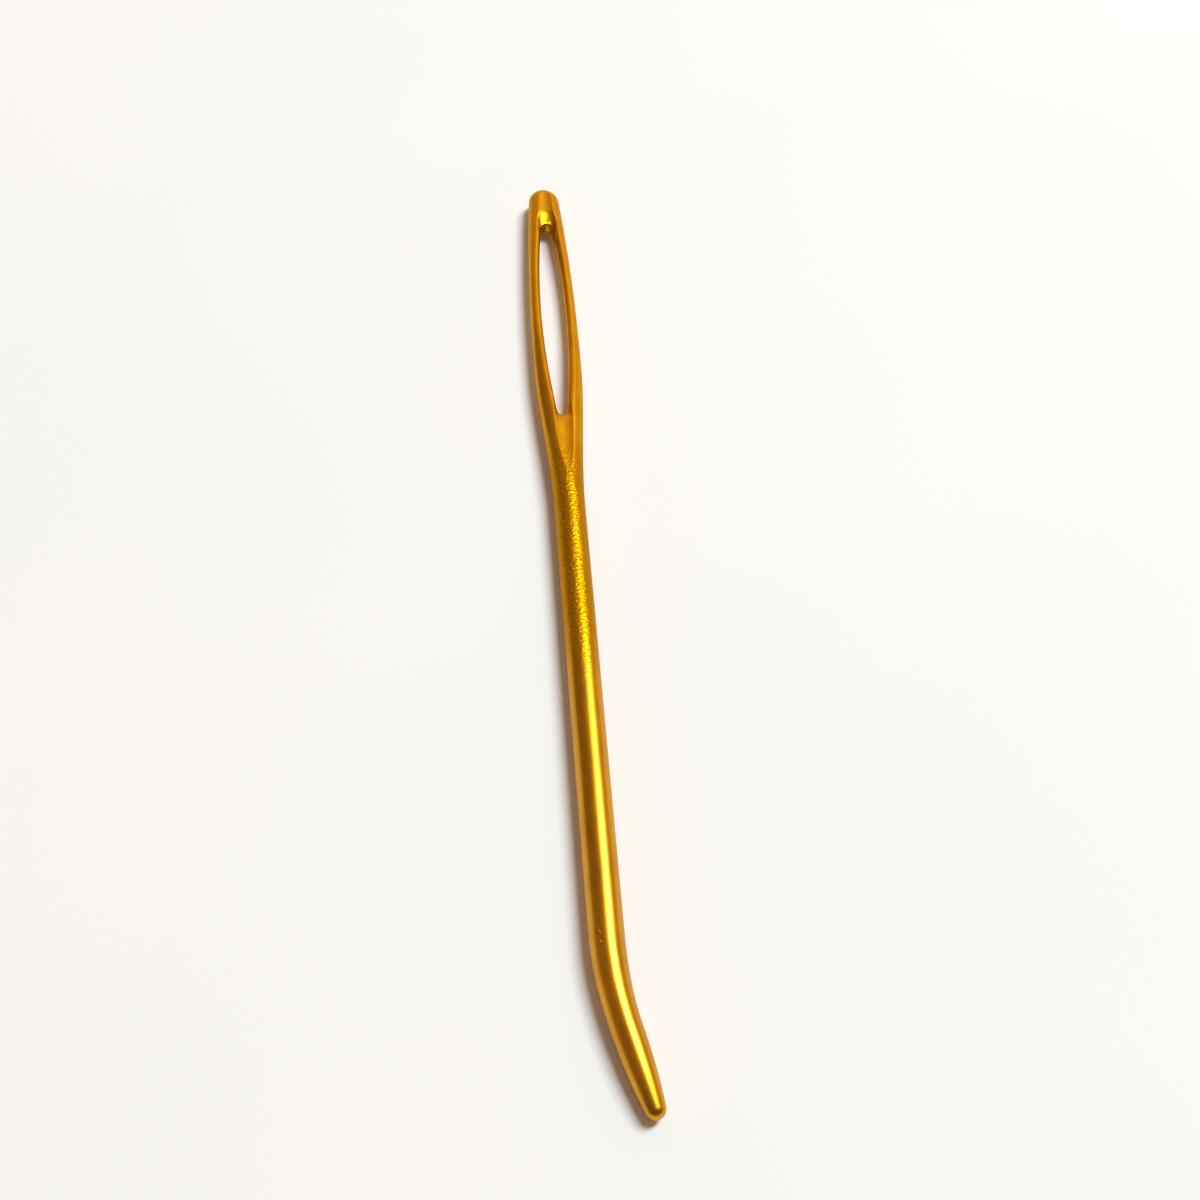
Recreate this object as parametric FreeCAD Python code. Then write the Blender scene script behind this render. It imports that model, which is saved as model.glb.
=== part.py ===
import FreeCAD, Part
import math
import os

V = FreeCAD.Vector

# Driving dimensions, mm and degrees. Distances along the needle are measured from the end of the head
overall_length = 70.0
shaft_diameter = 2.1

head_width = 3.4
head_thickness = 1.7
head_end_width = 2.3
head_end_length = 1.1
head_widest_at = 15.3
neck_start = 17.5
neck_end = 30.0

eye_width = 1.8
eye_start = 3.85
eye_side_radius = 80.0
eye_top_radius = 0.45
eye_foot_radius = 0.36
eye_rim_radius = 0.34

gutter_half_angle = 66.0
gutter_root_radius = 1.5
gutter_web = 1.17
gutter_level_from = 6.0
gutter_level_to = 20.0
upper_gutter_run_radius = 120.0
lower_gutter_run_radius = 64.5
dip_at = 4.4
dip_web = 0.8
dip_run_radius = 6.0

bend_angle = 14.9
bend_radius = 22.0
tip_root_diameter = 1.85
tip_length = 4.9
tip_nose_radius = 0.6

# Counts of the sections that the two shaped lengths are drawn through
head_sections = 15
bend_sections = 9

# The rims take no more than this share of the metal beside the eye
largest_rim_share = 0.43

# Sizes that follow
shaft_radius = shaft_diameter / 2
bend = math.radians(bend_angle)
bend_tangent = bend_radius * math.tan(bend / 2)
nose_at = tip_length - tip_nose_radius
bend_corner = overall_length - tip_nose_radius - (bend_tangent + nose_at) * math.cos(bend)
bend_start = bend_corner - bend_tangent


def ease(u):
    u = min(max(u, 0.0), 1.0)
    return u * u * (3 - 2 * u)


def mix(start, end, u):
    return start + (end - start) * u


# Head outline: half its width and half its thickness at a distance from its end
def head_half_width(d):
    if d < head_widest_at:
        u = (head_widest_at - d) / (head_widest_at - head_end_length)
        return mix(head_width, head_end_width, u * u) / 2
    return mix(head_width, shaft_diameter, ease((d - neck_start) / (neck_end - neck_start))) / 2


def head_half_thickness(d):
    return mix(head_thickness, shaft_diameter, ease((d - neck_start) / (neck_end - neck_start))) / 2


def head_section(d):
    oval = Part.Ellipse(V(0, 0, 0), head_half_width(d), head_half_thickness(d)).toShape()
    oval.rotate(V(0, 0, 0), V(1, 0, 0), 90)
    oval.translate(V(0, -d, 0))
    return Part.Wire([oval])


# Head: a run of ovals from the end of the head to the shaft
step = (neck_end - head_end_length) / (head_sections - 1)
head = Part.makeLoft([head_section(head_end_length + i * step) for i in range(head_sections)], True, False)

# Domed end, tangent to the sides of the head
end_half_width = head_half_width(head_end_length)
end_half_thickness = head_half_thickness(head_end_length)
end_slope = (head_width - head_end_width) / (head_widest_at - head_end_length)
flare = end_slope / end_half_width
dome_inset = flare * head_end_length ** 2 / (1 - 2 * flare * head_end_length)
dome_length = head_end_length + dome_inset
swell = 1 / math.sqrt(1 - (dome_inset / dome_length) ** 2)
stretch = FreeCAD.Matrix()
stretch.scale(V(end_half_width * swell, dome_length, end_half_thickness * swell))
dome = Part.makeSphere(1.0, V(0, 0, 0), V(0, 0, 1)).transformGeometry(stretch)
dome.translate(V(0, -dome_length, 0))
corner = V(-head_width / 2, -head_end_length, -head_width / 2)
keep = Part.makeBox(head_width, head_end_length, head_width, corner)
head = head.fuse(dome.common(keep))


# Eye: two long side arcs closed by a round top and a smaller round foot, cut through the head
def eye_reach(end_radius):
    side = eye_side_radius - eye_width / 2
    return math.sqrt((eye_side_radius - end_radius) ** 2 - side ** 2)


eye_widest_at = eye_start + eye_top_radius + eye_reach(eye_top_radius)


def eye_touch(end_radius, way):
    grow = eye_side_radius / (eye_side_radius - end_radius)
    side = eye_side_radius - eye_width / 2
    return side * (grow - 1), way * eye_reach(end_radius) * grow - eye_widest_at


top_x, top_y = eye_touch(eye_top_radius, 1)
foot_x, foot_y = eye_touch(eye_foot_radius, -1)
eye_end = eye_widest_at + eye_reach(eye_foot_radius) + eye_foot_radius
eye_outline = Part.Wire([
    Part.Arc(V(-top_x, top_y, 0), V(0, -eye_start, 0), V(top_x, top_y, 0)).toShape(),
    Part.Arc(V(top_x, top_y, 0), V(eye_width / 2, -eye_widest_at, 0), V(foot_x, foot_y, 0)).toShape(),
    Part.Arc(V(foot_x, foot_y, 0), V(0, -eye_end, 0), V(-foot_x, foot_y, 0)).toShape(),
    Part.Arc(V(-foot_x, foot_y, 0), V(-eye_width / 2, -eye_widest_at, 0), V(-top_x, top_y, 0)).toShape(),
])
eye = Part.Face(eye_outline)
eye.translate(V(0, 0, -head_thickness))
head = head.cut(eye.extrude(V(0, 0, 2 * head_thickness)))


# Rounded rims of the eye on both faces
def is_rim(edge):
    box = edge.BoundBox
    inside = abs(box.XMin) < eye_width and abs(box.XMax) < eye_width
    along = box.YMax < -eye_start + 0.01 and box.YMin > -eye_end - 0.01
    upright = box.ZMin < 0 < box.ZMax
    return inside and along and not upright and box.YLength > eye_foot_radius / 2


rim_radius = min(eye_rim_radius, largest_rim_share * (head_width - eye_width) / 2)
head = head.makeFillet(rim_radius, [edge for edge in head.Edges if is_rim(edge)])


# Gutters on both faces: a round-bottomed vee, level along the eye, that runs out at both ends
def gutter_outline(at, web):
    half = math.radians(gutter_half_angle)
    touch_x = gutter_root_radius * math.cos(half)
    touch_z = gutter_root_radius * (1 - math.sin(half))
    brim = touch_x + (head_thickness - touch_z) * math.tan(half)
    root = Part.Arc(V(-touch_x, 0, touch_z), V(0, 0, 0), V(touch_x, 0, touch_z)).toShape()
    sides = Part.makePolygon([
        V(touch_x, 0, touch_z),
        V(brim, 0, head_thickness),
        V(-brim, 0, head_thickness),
        V(-touch_x, 0, touch_z),
    ])
    outline = Part.Face(Part.Wire([root] + sides.Edges))
    outline.translate(V(0, -at, web / 2))
    return outline


def run_out(at, web, run_radius, length):
    turn = math.degrees(math.asin(length / run_radius))
    return gutter_outline(at, web).revolve(V(0, -at, web / 2 + run_radius), V(1, 0, 0), turn)


level = gutter_outline(gutter_level_from, gutter_web).extrude(V(0, gutter_level_from - gutter_level_to, 0))
upper_run = run_out(gutter_level_from, gutter_web, upper_gutter_run_radius, gutter_level_from)
lower_run = run_out(gutter_level_to, gutter_web, lower_gutter_run_radius, gutter_level_to - neck_end)
trough = level.fuse([upper_run, lower_run])

# Dip of the gutter down to the top of the eye
dip = gutter_outline(dip_at, dip_web).revolve(V(0, -dip_at, dip_web / 2 + dip_run_radius), V(1, 0, 0), 360)
cuts = [trough, dip]
head = head.cut(cuts + [cut.mirror(V(0, 0, 0), V(0, 0, 1)) for cut in cuts])

# Shaft
shaft = Part.makeCylinder(shaft_radius, bend_start - neck_end, V(0, -bend_start, 0), V(0, 1, 0))


# Bend, tapering towards the tip
def bend_section(u):
    radius = mix(shaft_diameter, tip_root_diameter, ease(u)) / 2
    ring = Part.makeCircle(radius, V(0, -bend_start, 0), V(0, 1, 0))
    ring.rotate(V(bend_radius, -bend_start, 0), V(0, 0, 1), bend_angle * u)
    return Part.Wire([ring])


curve = Part.makeLoft([bend_section(i / (bend_sections - 1)) for i in range(bend_sections)], True, False)

# Tip: bowed sides that run into a round nose, drawn straight and turned to the angle of the bend
tip_root_radius = tip_root_diameter / 2
narrowing = tip_root_radius - tip_nose_radius
tip_side_radius = (tip_root_radius ** 2 - tip_nose_radius ** 2 + nose_at ** 2) / (2 * narrowing)
tip_slope = math.asin(nose_at / (tip_side_radius - tip_nose_radius))


def tip_side(turn):
    return V(tip_root_radius - tip_side_radius * (1 - math.cos(turn)), -tip_side_radius * math.sin(turn), 0)


def tip_nose(turn):
    return V(tip_nose_radius * math.cos(turn), -nose_at - tip_nose_radius * math.sin(turn), 0)


square = math.pi / 2
tip_outline = Part.Wire([
    Part.Arc(tip_side(0), tip_side(tip_slope / 2), tip_side(tip_slope)).toShape(),
    Part.Arc(tip_nose(tip_slope), tip_nose((tip_slope + square) / 2), tip_nose(square)).toShape(),
    Part.makeLine(V(0, -tip_length, 0), V(0, 0, 0)),
    Part.makeLine(V(0, 0, 0), V(tip_root_radius, 0, 0)),
])
tip = Part.Face(tip_outline).revolve(V(0, 0, 0), V(0, 1, 0), 360)
tip.rotate(V(0, 0, 0), V(0, 0, 1), bend_angle)
tip_offset = bend_radius * (1 - math.cos(bend))
tip.translate(V(tip_offset, -bend_start - bend_radius * math.sin(bend), 0))

needle = head.fuse([shaft, curve, tip]).removeSplitter().Solids[0]

# Rest: the needle rolls about its shaft until the side of its tip touches the ground
flank = tip_side_radius - tip_root_radius
side = tip_side_radius - shaft_radius
a = tip_offset ** 2 + (flank * math.sin(bend)) ** 2
b = side * tip_offset
c = flank ** 2 - side ** 2
roll = math.degrees(math.asin((math.sqrt(b * b + a * c) - b) / a))
needle.rotate(V(0, 0, 0), V(0, 1, 0), roll)

# Row frame: shaft along Y, ground at zero, origin at the middle of the footprint
box = needle.optimalBoundingBox(False, False)
needle.translate(V(-(box.XMin + box.XMax) / 2, -(box.YMin + box.YMax) / 2, -box.ZMin))

os.makedirs("parts", exist_ok=True)
needle.exportStep("parts/needle.step")
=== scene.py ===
import math

import bmesh
import bpy
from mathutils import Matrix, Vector


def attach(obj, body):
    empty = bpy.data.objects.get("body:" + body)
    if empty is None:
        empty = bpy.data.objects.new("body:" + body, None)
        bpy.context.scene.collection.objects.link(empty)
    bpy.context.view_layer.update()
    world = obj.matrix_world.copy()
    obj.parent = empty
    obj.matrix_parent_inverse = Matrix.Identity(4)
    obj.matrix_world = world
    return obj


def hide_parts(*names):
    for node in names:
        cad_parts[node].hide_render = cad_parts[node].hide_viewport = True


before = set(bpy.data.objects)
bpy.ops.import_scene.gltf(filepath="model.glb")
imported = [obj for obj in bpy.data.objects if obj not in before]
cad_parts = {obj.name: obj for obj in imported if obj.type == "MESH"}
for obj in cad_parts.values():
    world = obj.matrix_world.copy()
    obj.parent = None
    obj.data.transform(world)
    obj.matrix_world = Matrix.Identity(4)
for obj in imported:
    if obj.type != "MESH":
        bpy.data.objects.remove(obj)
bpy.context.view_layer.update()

MM = 0.001

# Camera: above and before the tip, looking along the shaft to the head, as in the photograph
CAMERA_AZIMUTH = -4.607
CAMERA_ELEVATION = 58.283
CAMERA_DISTANCE = 0.096875
CAMERA_TARGET = Vector((0.001068, -0.002384, 0.00105))
CAMERA_LENS = 45.0
CAMERA_SENSOR = 36.0
CAMERA_NEAR = 0.001

# Lamp: degrees from upright, metres and watts
LAMP_ACROSS = 28.0
LAMP_ALONG = 16.0
LAMP_DISTANCE = 1.2
LAMP_WIDTH = 0.3
LAMP_LENGTH = 0.56
LAMP_POWER = 13.6
LAMP_COLOUR = (0.86, 0.96, 1.0)

# Room, by direction: dim on the left, warm on the right, bright beyond the head, dark behind the camera, and
# pale walls low down. A fade starts and ends at these shares of the direction's X, Y or Z
BACK_SKY = (0.12, 0.09, 0.07)
NEAR_SKY = (0.34, 0.21, 0.13)
DIM_SKY = (0.1, 0.055, 0.05)
RIGHT_SKY = (0.38, 0.195, 0.08)
FAR_SKY = (0.93, 0.67, 0.38)
LOW_WALLS = (0.9, 0.88, 0.84)
RIGHT_FADE = (0.15, 0.9)
DIM_FADE = (0.2, 0.6)
FAR_FADE = (0.56, 0.72)
FAR_LEAN = 0.12
BACK_FADE = (-0.4, -0.05)
WALL_FADE = (0.05, 0.12)

# Floor
FLOOR_SIZE = 0.6
FLOOR_COLOUR = (0.98, 0.985, 1.0)
FLOOR_SHADE = (0.96, 0.97, 0.98)
FLOOR_STRETCH = (25.0, 25.0, 25.0)
FLOOR_DETAIL = 2.0
FLOOR_FADE = (0.3, 0.7)
FLOOR_ROUGHNESS = 0.8
FLOOR_GLOSS = 0.2

# Anodised metal: polished up to the middle of the shaft, satin from there to the eye, and glossier than
# polished at the head, so satin is 0, then 1, then below 0. Places and sizes are in mm
GOLD = (0.7, 0.34, 0.008)
DEEP_GOLD = (0.62, 0.285, 0.006)
# Gold of the satin length: darker than GOLD as painted shade, which dims the highlight and dark band there;
# the satin roughness and grain are real
SHADED_SATIN_GOLD = (0.52, 0.245, 0.002)
EDGE_GOLD = (0.9, 0.65, 0.6)
SATIN_FADE = (-11.0, -3.0)
HEAD_FADE = (7.0, 14.0)
HEAD_SATIN = -0.7
SATIN_ROUGHNESS = 0.38
POLISHED_ROUGHNESS = 0.34
SMUDGE_ROUGHNESS = 0.06
POLISHED_COAT = 0.35
COAT_ROUGHNESS = 0.25
GRAIN_STRETCH = (5.5, 7.0, 5.5)
GRAIN_DETAIL = 1.0
GRAIN_DEPTH = 0.042
POLISHED_GRAIN = 0.06
CLOUD_STRETCH = (0.9, 0.45, 0.9)
CLOUD_DETAIL = 2.0
DEEP_FADE = (0.35, 0.75)
SMUDGE_STRETCH = (2.6, 1.56, 2.6)
SMUDGE_DETAIL = 4.0
NICKS = [(-0.67, -25.3, 2.05), (-0.72, -24.7, 2.04), (0.35, -27.6, 2.05)]
NICK_SIZE = 0.16

# Needle, mm and degrees: the same sizes as the solid's
OVERALL_LENGTH = 70.0
SHAFT_DIAMETER = 2.1
HEAD_WIDTH = 3.4
HEAD_THICKNESS = 1.7
HEAD_END_WIDTH = 2.3
HEAD_END_LENGTH = 1.1
HEAD_WIDEST_AT = 15.3
NECK_START = 17.5
NECK_END = 30.0
EYE_WIDTH = 1.8
EYE_START = 3.85
EYE_SIDE_RADIUS = 80.0
EYE_TOP_RADIUS = 0.45
EYE_FOOT_RADIUS = 0.36
EYE_RIM_RADIUS = 0.34
GUTTER_HALF_ANGLE = 66.0
GUTTER_ROOT_RADIUS = 1.5
GUTTER_WEB = 1.17
GUTTER_LEVEL_FROM = 6.0
GUTTER_LEVEL_TO = 20.0
UPPER_GUTTER_RUN_RADIUS = 120.0
LOWER_GUTTER_RUN_RADIUS = 64.5
DIP_AT = 4.4
DIP_WEB = 0.8
DIP_RUN_RADIUS = 6.0
BEND_ANGLE = 14.9
BEND_RADIUS = 22.0
TIP_ROOT_DIAMETER = 1.85
TIP_LENGTH = 4.9
TIP_NOSE_RADIUS = 0.6

# The needle's mesh: lines along it, three of them by their number from the top of a quarter, and its steps
LINES = 32
QUARTER = LINES // 4
EYE_LINE = 3
LIP_LINE = 5
RIM_LINE = 6
BEND_STEPS = 9
NOSE_STEPS = 8
WALL_CUTS = 2
SMOOTH_LEVEL = 2
ROTATE_WAY = -1
HALVINGS = 30
SAME_PLACE = 1e-6

# Rings of the head, mm from its end
DOME_RINGS = [0.018, 0.072, 0.16, 0.28, 0.427, 0.598, 0.787, 0.988]
UPPER_RINGS = [1.25, 1.6, 2.1, 2.5, 2.8, 3.15, 3.5]
EYE_TOP_RING = 4.15
EYE_RINGS = [4.75, 5.4, 6.3, 7.5, 9.0, 10.8, 12.7, 14.5, 16.0, 17.4, 18.7, 19.8, 20.7, 21.4]
EYE_FOOT_RING = 22.05
LOWER_RINGS = [22.75, 23.3, 24.0, 24.8, 25.6, 26.3, 26.9, 27.35, 27.7, 28.1]
NECK_RINGS = [28.7, 29.4, 30.2, 31.2, 32.4, 33.8]
HEAD_RINGS = (
    DOME_RINGS + UPPER_RINGS + [EYE_TOP_RING] + EYE_RINGS + [EYE_FOOT_RING] + LOWER_RINGS + NECK_RINGS
)
SHAFT_RINGS = [36.0, 39.0, 43.0, 47.0, 51.0, 55.0, 58.0]

# Rings of the tip's bowed sides, as shares of their length
TIP_SIDE_RINGS = [0.25, 0.48, 0.67, 0.81, 0.9, 0.96]

# How the lines spread: to the gutters' lips near the eye's ends, and evenly past the gutters
EYE_TOP_BLEND = 5.4
EYE_FOOT_BLEND = 20.4
EYE_BLEND_LENGTH = 1.6
GUTTER_TOP = 0.53
GUTTER_FOOT = 27.6
EVEN_LENGTH = 5.0
LEAST_SPREAD = 0.18

# Rest: the needle's roll, and the place of the head's end on the shaft's axis
REST_ROLL = 8.226795
REST_PLACE = Vector((-0.368103, 35.0, 1.05))


def ease(u):
    u = min(max(u, 0.0), 1.0)
    return u * u * (3 - 2 * u)


def mix(start, end, u):
    return start + (end - start) * u


# Sizes that follow
SHAFT_RADIUS = SHAFT_DIAMETER / 2
EYE_SIDE_OFFSET = EYE_SIDE_RADIUS - EYE_WIDTH / 2


def eye_reach(end_radius):
    return math.sqrt((EYE_SIDE_RADIUS - end_radius) ** 2 - EYE_SIDE_OFFSET ** 2)


EYE_WIDEST_AT = EYE_START + EYE_TOP_RADIUS + eye_reach(EYE_TOP_RADIUS)
EYE_END = EYE_WIDEST_AT + eye_reach(EYE_FOOT_RADIUS) + EYE_FOOT_RADIUS
GUTTER_SLOPE = 1 / math.tan(math.radians(GUTTER_HALF_ANGLE))
ROOT_REACH = GUTTER_ROOT_RADIUS * math.cos(math.radians(GUTTER_HALF_ANGLE))
ROOT_DROP = GUTTER_ROOT_RADIUS * (1 / math.sin(math.radians(GUTTER_HALF_ANGLE)) - 1)
BEND = math.radians(BEND_ANGLE)
BEND_TANGENT = BEND_RADIUS * math.tan(BEND / 2)
NOSE_AT = TIP_LENGTH - TIP_NOSE_RADIUS
BEND_START = OVERALL_LENGTH - TIP_NOSE_RADIUS - (BEND_TANGENT + NOSE_AT) * math.cos(BEND) - BEND_TANGENT
TIP_ROOT_RADIUS = TIP_ROOT_DIAMETER / 2
NARROWING = TIP_ROOT_RADIUS - TIP_NOSE_RADIUS
TIP_SIDE_RADIUS = (TIP_ROOT_RADIUS ** 2 - TIP_NOSE_RADIUS ** 2 + NOSE_AT ** 2) / (2 * NARROWING)
TIP_SLOPE = math.asin(NOSE_AT / (TIP_SIDE_RADIUS - TIP_NOSE_RADIUS))
END_SLOPE = (HEAD_WIDTH - HEAD_END_WIDTH) / (HEAD_WIDEST_AT - HEAD_END_LENGTH)


# Half the width and half the thickness of the head, at a distance from its end
def body_size(d):
    neck = ease((d - NECK_START) / (NECK_END - NECK_START))
    width = mix(HEAD_WIDTH, SHAFT_DIAMETER, neck)
    if d < HEAD_WIDEST_AT:
        u = (HEAD_WIDEST_AT - d) / (HEAD_WIDEST_AT - HEAD_END_LENGTH)
        width = mix(HEAD_WIDTH, HEAD_END_WIDTH, u * u)
    return width / 2, mix(HEAD_THICKNESS, SHAFT_DIAMETER, neck) / 2


def head_size(d):
    if d >= HEAD_END_LENGTH:
        return body_size(d)
    width, thickness = body_size(HEAD_END_LENGTH)
    flare = END_SLOPE / width
    inset = flare * HEAD_END_LENGTH ** 2 / (1 - 2 * flare * HEAD_END_LENGTH)
    length = HEAD_END_LENGTH + inset
    swell = 1 / math.sqrt(1 - (inset / length) ** 2)
    bow = swell * math.sqrt(1 - ((length - d) / length) ** 2)
    return width * bow, thickness * bow


def oval_height(x, width, height):
    return height * math.sqrt(max(1 - (x / width) ** 2, 0.0))


# Height of the gutter above its root line
def gutter_rise(x):
    if x < ROOT_REACH:
        return GUTTER_ROOT_RADIUS - math.sqrt(GUTTER_ROOT_RADIUS ** 2 - x ** 2)
    return x * GUTTER_SLOPE - ROOT_DROP


def wheel_height(web, run_radius, past, rise):
    return web / 2 + run_radius - math.sqrt(max((run_radius - rise) ** 2 - past ** 2, 0.0))


def gutter_height(d, x):
    rise = gutter_rise(x)
    dip = wheel_height(DIP_WEB, DIP_RUN_RADIUS, d - DIP_AT, rise)
    if d < GUTTER_LEVEL_TO:
        past = max(GUTTER_LEVEL_FROM - d, 0.0)
        return min(dip, wheel_height(GUTTER_WEB, UPPER_GUTTER_RUN_RADIUS, past, rise))
    return wheel_height(GUTTER_WEB, LOWER_GUTTER_RUN_RADIUS, d - GUTTER_LEVEL_TO, rise)


# Where a gutter's flank meets the outside of the head
def lip_at(d, width, height):
    low, high = 0.0, width
    for _ in range(HALVINGS):
        middle = (low + high) / 2
        if gutter_height(d, middle) < oval_height(middle, width, height):
            low = middle
        else:
            high = middle
    return low


def eye_half_width(d):
    return EYE_WIDTH / 2 - (d - EYE_WIDEST_AT) ** 2 / (2 * EYE_SIDE_RADIUS)


# The eye's rim: how high its arc starts on the wall, how far it leans over, and where it leaves the outside
def rim_arc(eye, width, height):
    low, high = 0.0, math.pi / 2
    for _ in range(HALVINGS):
        turn = (low + high) / 2
        lean = math.atan2(math.sin(turn) / width, math.cos(turn) / height)
        if width * math.sin(turn) - EYE_RIM_RADIUS * math.sin(lean) < eye + EYE_RIM_RADIUS:
            low = turn
        else:
            high = turn
    return height * math.cos(turn) - EYE_RIM_RADIUS * math.cos(lean), lean, turn


# Places of the lines around one quarter, from the top to the side: across, from the end, and up
def section(d):
    width, height = head_size(d)
    lip = lip_at(d, width, height)
    side = math.asin(max(lip / width, LEAST_SPREAD))
    even = max(ease((d - GUTTER_FOOT) / EVEN_LENGTH), 1 - ease(d / GUTTER_TOP))
    side = mix(side, math.pi / 2 * LIP_LINE / QUARTER, even)
    places = []
    for line in range(QUARTER + 1):
        turn = side * line / LIP_LINE
        if line > LIP_LINE:
            turn = mix(side, math.pi / 2, (line - LIP_LINE) / (QUARTER - LIP_LINE))
        across = width * math.sin(turn)
        places.append([across, d, min(height * math.cos(turn), gutter_height(d, across))])
    if not EYE_START < d < EYE_END:
        return swelled(places, LIP_LINE + 1 if lip > 0 else 0)

    # Beside the eye the lines go round its rim, and near its ends they run to the gutter's lips
    eye = eye_half_width(d)
    base, lean, leave = rim_arc(eye, width, height)
    near_top = ease((EYE_TOP_BLEND - d) / EYE_BLEND_LENGTH)
    near_end = max(near_top, ease((d - EYE_FOOT_BLEND) / EYE_BLEND_LENGTH))
    for line in range(EYE_LINE, QUARTER + 1):
        around = (math.pi / 2 + lean) * (line - EYE_LINE) / (RIM_LINE - EYE_LINE)
        across = eye + EYE_RIM_RADIUS * (1 - math.cos(around))
        if line > RIM_LINE:
            across = width * math.sin(mix(leave, math.pi / 2, (line - RIM_LINE) / (QUARTER - RIM_LINE)))
        if line > EYE_LINE:
            across = mix(across, places[line][0], near_end)
        up = min(oval_height(across, width, height), gutter_height(d, across))
        if across < width * math.sin(leave):
            in_arc = (across - eye - EYE_RIM_RADIUS) ** 2
            up = min(up, base + math.sqrt(max(EYE_RIM_RADIUS ** 2 - in_arc, 0.0)))
        places[line] = [across, d, up]
    for line in range(EYE_LINE + 1):
        if d in (EYE_TOP_RING, EYE_FOOT_RING):
            places[line] = eye_end_place(d, math.radians(90 * line / EYE_LINE))
        elif line < EYE_LINE:
            places[line][0] = eye * line / EYE_LINE
    return swelled(places, EYE_LINE + 1)


def eye_end_place(d, turn):
    radius, at, way = EYE_TOP_RADIUS, EYE_START, 1
    if d == EYE_FOOT_RING:
        radius, at, way = EYE_FOOT_RADIUS, EYE_END, -1
    across = radius * math.sin(turn)
    along = at + way * radius * (1 - math.cos(turn))
    width, height = head_size(along)
    rim = mix(height - EYE_RIM_RADIUS, rim_arc(radius, width, height)[0], math.sin(turn) ** 2)
    return [across, along, min(rim, gutter_height(along, across))]


# Subdivision draws a line in between its neighbours, so it starts that much further out
def swelled(places, first):
    before = [-places[1][0], places[1][1], places[1][2]]
    after = [places[-2][0], places[-2][1], -places[-2][2]]
    ring = [before] + places + [after]
    moved = []
    for line, place in enumerate(places):
        if line < first:
            moved.append(place)
            continue
        last, following = ring[line], ring[line + 2]
        across = place[0] - (last[0] - 2 * place[0] + following[0]) / 6
        up = place[2] - (last[2] - 2 * place[2] + following[2]) / 6
        moved.append([across, place[1], up])
    return moved


# Rings of the tip: how far each is from the bend, and its diameter
def tip_rings():
    rings = []
    for share in TIP_SIDE_RINGS:
        turn = TIP_SLOPE * share
        bow = TIP_SIDE_RADIUS * (1 - math.cos(turn))
        rings.append((TIP_SIDE_RADIUS * math.sin(turn), TIP_ROOT_DIAMETER - 2 * bow))
    step = (math.pi / 2 - TIP_SLOPE) / NOSE_STEPS
    nose = TIP_NOSE_RADIUS * (1 + (1 - math.cos(step)) / 3)
    for number in range(NOSE_STEPS):
        turn = TIP_SLOPE + step * number
        rings.append((NOSE_AT + nose * math.sin(turn), 2 * nose * math.cos(turn)))
    return rings


def clear_selection():
    bpy.ops.object.select_all(action="DESELECT")


def pick(piece, numbers):
    bpy.ops.mesh.select_all(action="DESELECT")
    mesh = bmesh.from_edit_mesh(piece.data)
    mesh.verts.ensure_lookup_table()
    for number in numbers:
        mesh.verts[number].select = True
    mesh.select_flush(True)
    bmesh.update_edit_mesh(piece.data)


def pull(x, y, z):
    bpy.ops.mesh.extrude_region_move(TRANSFORM_OT_translate={"value": (x * MM, y * MM, z * MM)})


def grow(amount, centre):
    bpy.ops.transform.resize(value=(amount, amount, amount), center_override=centre * MM)


def close_point(x, y, z):
    pull(x, y, z)
    bpy.ops.mesh.merge(type="CENTER")


# Vertices of the rings at these distances, sorted by the line that they are on
def lines_by_ring(piece, rings):
    mesh = bmesh.from_edit_mesh(piece.data)
    found = {d: [[] for _ in range(QUARTER + 1)] for d in rings}
    for vert in mesh.verts:
        for d in rings:
            if abs(vert.co.y + d * MM) < SAME_PLACE:
                turn = math.atan2(abs(vert.co.x), abs(vert.co.z))
                found[d][round(turn / (math.pi / 2) * QUARTER)].append(vert.index)
    return found


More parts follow.
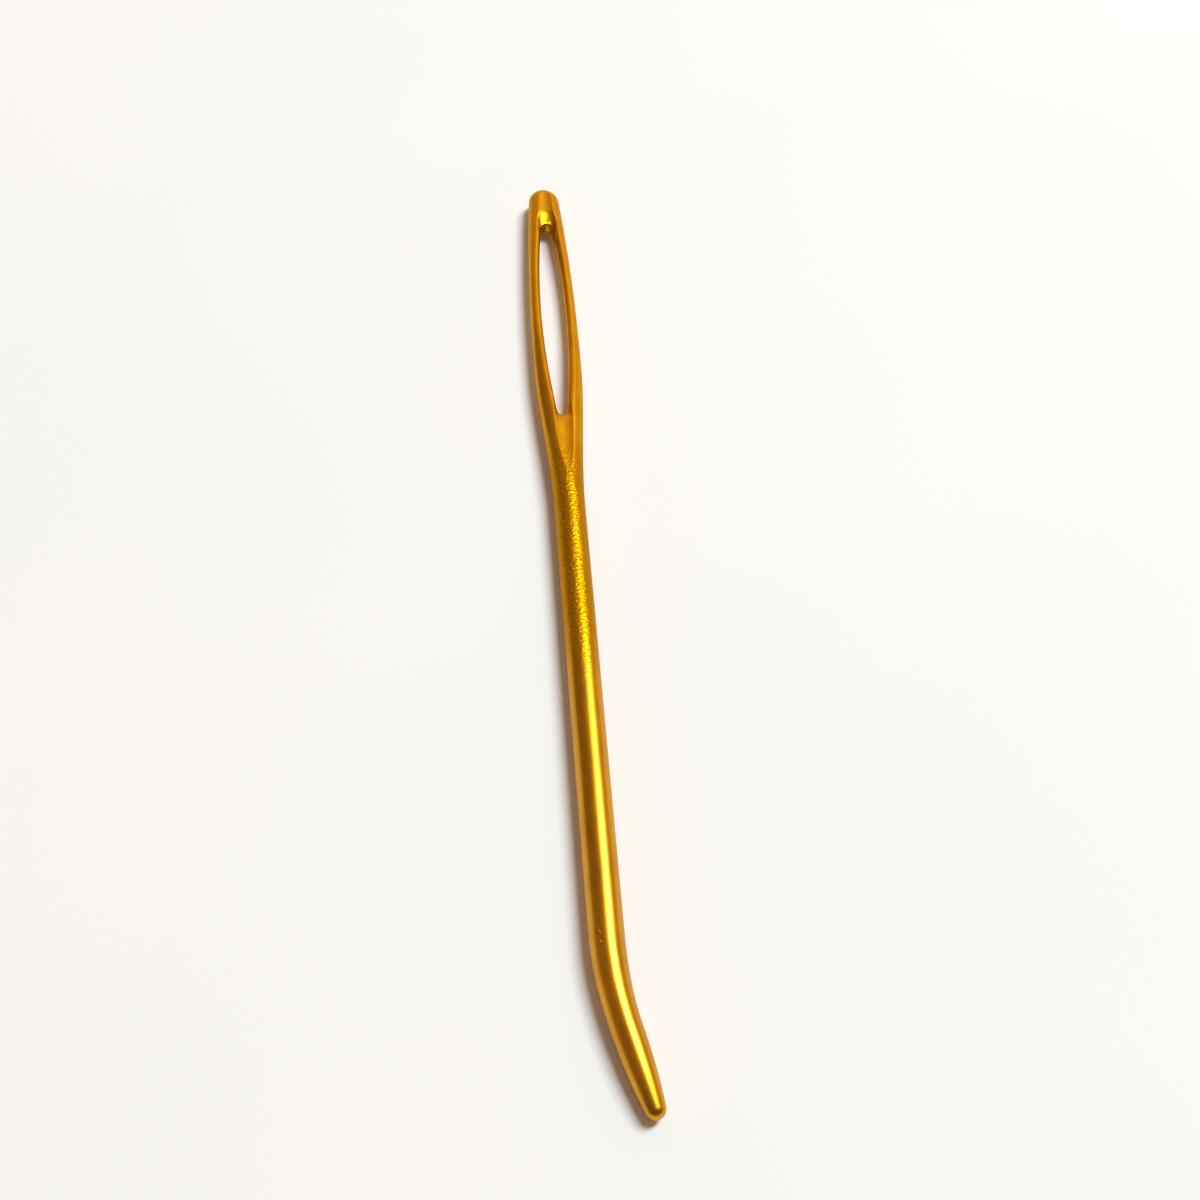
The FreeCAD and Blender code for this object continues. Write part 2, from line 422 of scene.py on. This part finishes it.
def make_needle():
    # Subdivision draws each ring in, so it starts that much wider
    swell = 3 / (2 + math.cos(2 * math.pi / LINES))
    rings = HEAD_RINGS + SHAFT_RINGS + [BEND_START]
    clear_selection()
    bpy.ops.mesh.primitive_circle_add(
        vertices=LINES, radius=SHAFT_RADIUS * swell * MM, fill_type="NOTHING",
        location=(0, -rings[0] * MM, 0), rotation=(math.pi / 2, 0, 0),
    )
    needle = bpy.context.object
    needle.name = "polished_needle"
    bpy.ops.object.transform_apply(location=True, rotation=True, scale=True)
    bpy.ops.object.mode_set(mode="EDIT")
    bpy.ops.mesh.select_mode(type="VERT")
    bpy.ops.mesh.select_all(action="SELECT")

    # Straight tube
    for near, far in zip(rings, rings[1:]):
        pull(0, near - far, 0)

    # Bend
    pivot = Vector((BEND_RADIUS, -BEND_START, 0))
    size = SHAFT_DIAMETER
    for step in range(1, BEND_STEPS + 1):
        turn = BEND * step / BEND_STEPS
        centre = pivot + Vector((-math.cos(turn), -math.sin(turn), 0)) * BEND_RADIUS
        new_size = mix(SHAFT_DIAMETER, TIP_ROOT_DIAMETER, ease(step / BEND_STEPS))
        pull(0, 0, 0)
        bpy.ops.transform.rotate(
            value=ROTATE_WAY * BEND / BEND_STEPS, orient_axis="Z", center_override=pivot * MM,
        )
        grow(new_size / size, centre)
        size = new_size

    # Tip
    way = Vector((math.sin(BEND), -math.cos(BEND), 0))
    root = centre
    reach = 0.0
    for new_reach, new_size in tip_rings():
        pull(*(way * (new_reach - reach)))
        grow(new_size / size, root + way * new_reach)
        size, reach = new_size, new_reach
    close_point(*(way * (TIP_LENGTH - reach)))

    # Head: every line of every ring goes to its place
    found = lines_by_ring(needle, HEAD_RINGS)
    radius = SHAFT_RADIUS * swell
    for d in HEAD_RINGS:
        for line, (across, along, up) in enumerate(section(d)):
            turn = math.pi / 2 * line / QUARTER
            pick(needle, found[d][line])
            wide = across / (radius * math.sin(turn)) if line > 0 else 1
            high = up / (radius * math.cos(turn)) if line < QUARTER else 1
            bpy.ops.transform.resize(value=(wide, 1, high), center_override=(0, -d * MM, 0))
            if along != d:
                bpy.ops.transform.translate(value=(0, (d - along) * MM, 0))
    pick(needle, [number for line in found[HEAD_RINGS[0]] for number in line])
    close_point(0, HEAD_RINGS[0], 0)

    # Eye: its faces go, and a wall joins the two openings
    open_rings = [d for d in HEAD_RINGS if EYE_TOP_RING <= d <= EYE_FOOT_RING]
    pick(needle, [number for d in open_rings for line in found[d][:EYE_LINE + 1] for number in line])
    bpy.ops.mesh.delete(type="FACE")
    bpy.ops.mesh.select_all(action="DESELECT")
    bpy.ops.mesh.select_non_manifold(
        extend=False, use_wire=False, use_multi_face=False, use_non_contiguous=False, use_verts=False,
    )
    bpy.ops.mesh.bridge_edge_loops(number_cuts=WALL_CUTS, interpolation="LINEAR")
    bpy.ops.mesh.select_all(action="SELECT")
    bpy.ops.mesh.normals_make_consistent(inside=False)
    bpy.ops.object.mode_set(mode="OBJECT")

    subdivision = needle.modifiers.new("smooth", "SUBSURF")
    subdivision.levels = SMOOTH_LEVEL
    subdivision.render_levels = SMOOTH_LEVEL
    bpy.ops.object.modifier_apply(modifier=subdivision.name)
    bpy.ops.object.shade_smooth()
    needle.rotation_euler = (0, math.radians(REST_ROLL), 0)
    needle.location = REST_PLACE * MM
    bpy.ops.object.transform_apply(location=True, rotation=True, scale=True)
    return needle


def direction(azimuth, elevation):
    a, e = math.radians(azimuth), math.radians(elevation)
    return Vector((math.sin(a) * math.cos(e), -math.cos(a) * math.cos(e), math.sin(e)))


def make_camera():
    data = bpy.data.cameras.new("camera")
    data.lens = CAMERA_LENS
    data.sensor_width = CAMERA_SENSOR
    data.clip_start = CAMERA_NEAR
    camera = bpy.data.objects.new("camera", data)
    bpy.context.scene.collection.objects.link(camera)
    back = direction(CAMERA_AZIMUTH, CAMERA_ELEVATION)
    camera.location = CAMERA_TARGET + back * CAMERA_DISTANCE
    camera.rotation_euler = (-back).to_track_quat("-Z", "Y").to_euler()
    bpy.context.scene.camera = camera


def make_lamp():
    data = bpy.data.lights.new("main_lamp", "AREA")
    data.shape = "RECTANGLE"
    data.size = LAMP_WIDTH
    data.size_y = LAMP_LENGTH
    data.energy = LAMP_POWER
    data.color = LAMP_COLOUR
    lamp = bpy.data.objects.new("main_lamp", data)
    bpy.context.scene.collection.objects.link(lamp)
    across, along = math.tan(math.radians(LAMP_ACROSS)), math.tan(math.radians(LAMP_ALONG))
    way = Vector((across, along, 1.0)).normalized()
    lamp.location = way * LAMP_DISTANCE
    lamp.rotation_euler = (-way).to_track_quat("-Z", "Y").to_euler()


# A value that goes smoothly from 0 to 1 between the fade's two numbers
def smooth_step(nodes, links, value, fade):
    step = nodes.new("ShaderNodeMapRange")
    step.interpolation_type = "SMOOTHSTEP"
    step.inputs["From Min"].default_value = fade[0]
    step.inputs["From Max"].default_value = fade[1]
    links.new(value, step.inputs["Value"])
    return step.outputs["Result"]


def mix_colour(nodes, links, share, start, end):
    blend = nodes.new("ShaderNodeMix")
    blend.data_type = "RGBA"
    links.new(share, blend.inputs["Factor"])
    for name, colour in (("A", start), ("B", end)):
        if isinstance(colour, tuple):
            blend.inputs[name].default_value = (*colour, 1.0)
        else:
            links.new(colour, blend.inputs[name])
    return blend.outputs["Result"]


def calculate(nodes, links, operation, first, second):
    step = nodes.new("ShaderNodeMath")
    step.operation = operation
    for number, value in enumerate((first, second)):
        if isinstance(value, float):
            step.inputs[number].default_value = value
        else:
            links.new(value, step.inputs[number])
    return step.outputs[0]


def make_room():
    world = bpy.data.worlds.new("room")
    world.use_nodes = True
    nodes, links = world.node_tree.nodes, world.node_tree.links
    way = nodes.new("ShaderNodeTexCoord")
    parts = nodes.new("ShaderNodeSeparateXYZ")
    links.new(way.outputs["Generated"], parts.inputs[0])
    across, along, up = parts.outputs["X"], parts.outputs["Y"], parts.outputs["Z"]
    lean = calculate(nodes, links, "MULTIPLY", across, FAR_LEAN)
    beyond = calculate(nodes, links, "ADD", along, lean)
    colour = mix_colour(nodes, links, smooth_step(nodes, links, along, DIM_FADE), NEAR_SKY, DIM_SKY)
    colour = mix_colour(nodes, links, smooth_step(nodes, links, across, RIGHT_FADE), colour, RIGHT_SKY)
    colour = mix_colour(nodes, links, smooth_step(nodes, links, beyond, FAR_FADE), colour, FAR_SKY)
    colour = mix_colour(nodes, links, smooth_step(nodes, links, along, BACK_FADE), BACK_SKY, colour)
    colour = mix_colour(nodes, links, smooth_step(nodes, links, up, WALL_FADE), LOW_WALLS, colour)
    links.new(colour, nodes["Background"].inputs["Color"])
    bpy.context.scene.world = world


def make_floor():
    clear_selection()
    bpy.ops.mesh.primitive_plane_add(size=FLOOR_SIZE, location=(0, 0, 0))
    floor = bpy.context.object
    floor.name = "floor"
    material = bpy.data.materials.new("floor_paper")
    material.use_nodes = True
    nodes, links = material.node_tree.nodes, material.node_tree.links
    place = nodes.new("ShaderNodeTexCoord").outputs["Object"]
    clouds = noise(nodes, links, place, FLOOR_STRETCH, FLOOR_DETAIL)
    shade = smooth_step(nodes, links, clouds, FLOOR_FADE)
    shader = nodes["Principled BSDF"]
    links.new(mix_colour(nodes, links, shade, FLOOR_COLOUR, FLOOR_SHADE), shader.inputs["Base Color"])
    shader.inputs["Roughness"].default_value = FLOOR_ROUGHNESS
    shader.inputs["Specular IOR Level"].default_value = FLOOR_GLOSS
    floor.data.materials.append(material)


def new_group(name, inputs, outputs):
    tree = bpy.data.node_groups.new(name, "ShaderNodeTree")
    for label, kind in inputs:
        tree.interface.new_socket(name=label, in_out="INPUT", socket_type=kind)
    for label, kind in outputs:
        tree.interface.new_socket(name=label, in_out="OUTPUT", socket_type=kind)
    return tree, tree.nodes.new("NodeGroupInput").outputs, tree.nodes.new("NodeGroupOutput").inputs


# Noise with this many blotches to one unit of length along each axis
def noise(nodes, links, place, stretch, detail):
    spread = nodes.new("ShaderNodeVectorMath")
    spread.operation = "MULTIPLY"
    spread.inputs[1].default_value = stretch
    links.new(place, spread.inputs[0])
    texture = nodes.new("ShaderNodeTexNoise")
    texture.inputs["Scale"].default_value = 1.0
    texture.inputs["Detail"].default_value = detail
    links.new(spread.outputs[0], texture.inputs["Vector"])
    return texture.outputs["Fac"]


# Surface of the metal: grain on the satin length, faint clouding and smudges, a few nicks, and painted shade
# as a darker gold on the satin length
def worn_finish_and_shade():
    tree, given, result = new_group(
        "worn_finish_and_shade",
        [("Place", "NodeSocketVector"), ("Satin", "NodeSocketFloat")],
        [("Colour", "NodeSocketColor"), ("Roughness", "NodeSocketFloat"), ("Height", "NodeSocketFloat")],
    )
    nodes, links = tree.nodes, tree.links
    place, satin = given["Place"], given["Satin"]
    grain = noise(nodes, links, place, GRAIN_STRETCH, GRAIN_DETAIL)
    clouds = noise(nodes, links, place, CLOUD_STRETCH, CLOUD_DETAIL)
    smudges = noise(nodes, links, place, SMUDGE_STRETCH, SMUDGE_DETAIL)

    deep = smooth_step(nodes, links, clouds, DEEP_FADE)
    colour = mix_colour(nodes, links, deep, GOLD, DEEP_GOLD)
    # Share of satin: it darkens the colour as painted shade, and deepens the real grain
    satin_and_shade = calculate(nodes, links, "MAXIMUM", satin, 0.0)
    links.new(mix_colour(nodes, links, satin_and_shade, colour, SHADED_SATIN_GOLD), result["Colour"])

    rough = calculate(nodes, links, "MULTIPLY", satin, SATIN_ROUGHNESS - POLISHED_ROUGHNESS)
    rough = calculate(nodes, links, "ADD", rough, POLISHED_ROUGHNESS - SMUDGE_ROUGHNESS / 2)
    patchy = calculate(nodes, links, "MULTIPLY", smudges, SMUDGE_ROUGHNESS)
    links.new(calculate(nodes, links, "ADD", rough, patchy), result["Roughness"])

    depth = calculate(nodes, links, "ADD", satin_and_shade, POLISHED_GRAIN)
    height = calculate(nodes, links, "MULTIPLY", grain, depth)
    for spot in NICKS:
        gap = nodes.new("ShaderNodeVectorMath")
        gap.operation = "DISTANCE"
        gap.inputs[1].default_value = spot
        links.new(place, gap.inputs[0])
        dent = smooth_step(nodes, links, gap.outputs["Value"], (0.0, NICK_SIZE))
        height = calculate(nodes, links, "ADD", height, dent)
    links.new(height, result["Height"])
    return tree


def anodised_gold():
    material = bpy.data.materials.new("gold_anodised")
    material.use_nodes = True
    nodes, links = material.node_tree.nodes, material.node_tree.links
    shader = nodes["Principled BSDF"]
    shader.inputs["Metallic"].default_value = 1.0
    shader.inputs["Specular Tint"].default_value = (*EDGE_GOLD, 1.0)
    shader.inputs["Coat Roughness"].default_value = COAT_ROUGHNESS
    coordinates = nodes.new("ShaderNodeTexCoord")
    place = nodes.new("ShaderNodeVectorMath")
    place.operation = "SCALE"
    place.inputs["Scale"].default_value = 1 / MM
    links.new(coordinates.outputs["Object"], place.inputs[0])
    parts = nodes.new("ShaderNodeSeparateXYZ")
    links.new(place.outputs[0], parts.inputs[0])
    satin = smooth_step(nodes, links, parts.outputs["Y"], SATIN_FADE)
    polished = calculate(nodes, links, "SUBTRACT", 1.0, satin)
    links.new(calculate(nodes, links, "MULTIPLY", polished, POLISHED_COAT), shader.inputs["Coat Weight"])
    head = smooth_step(nodes, links, parts.outputs["Y"], HEAD_FADE)
    head = calculate(nodes, links, "MULTIPLY", head, 1.0 - HEAD_SATIN)
    satin = calculate(nodes, links, "SUBTRACT", satin, head)
    finish = nodes.new("ShaderNodeGroup")
    finish.node_tree = worn_finish_and_shade()
    links.new(place.outputs[0], finish.inputs["Place"])
    links.new(satin, finish.inputs["Satin"])
    links.new(finish.outputs["Colour"], shader.inputs["Base Color"])
    links.new(finish.outputs["Roughness"], shader.inputs["Roughness"])
    bump = nodes.new("ShaderNodeBump")
    bump.inputs["Strength"].default_value = 1.0
    bump.inputs["Distance"].default_value = GRAIN_DEPTH * MM
    links.new(finish.outputs["Height"], bump.inputs["Height"])
    links.new(bump.outputs["Normal"], shader.inputs["Normal"])
    return material


make_camera()
make_room()
make_floor()
make_lamp()

needle = make_needle()
needle.data.materials.append(anodised_gold())
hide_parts("needle")
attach(needle, "root")

bpy.context.scene.view_settings.view_transform = "Standard"
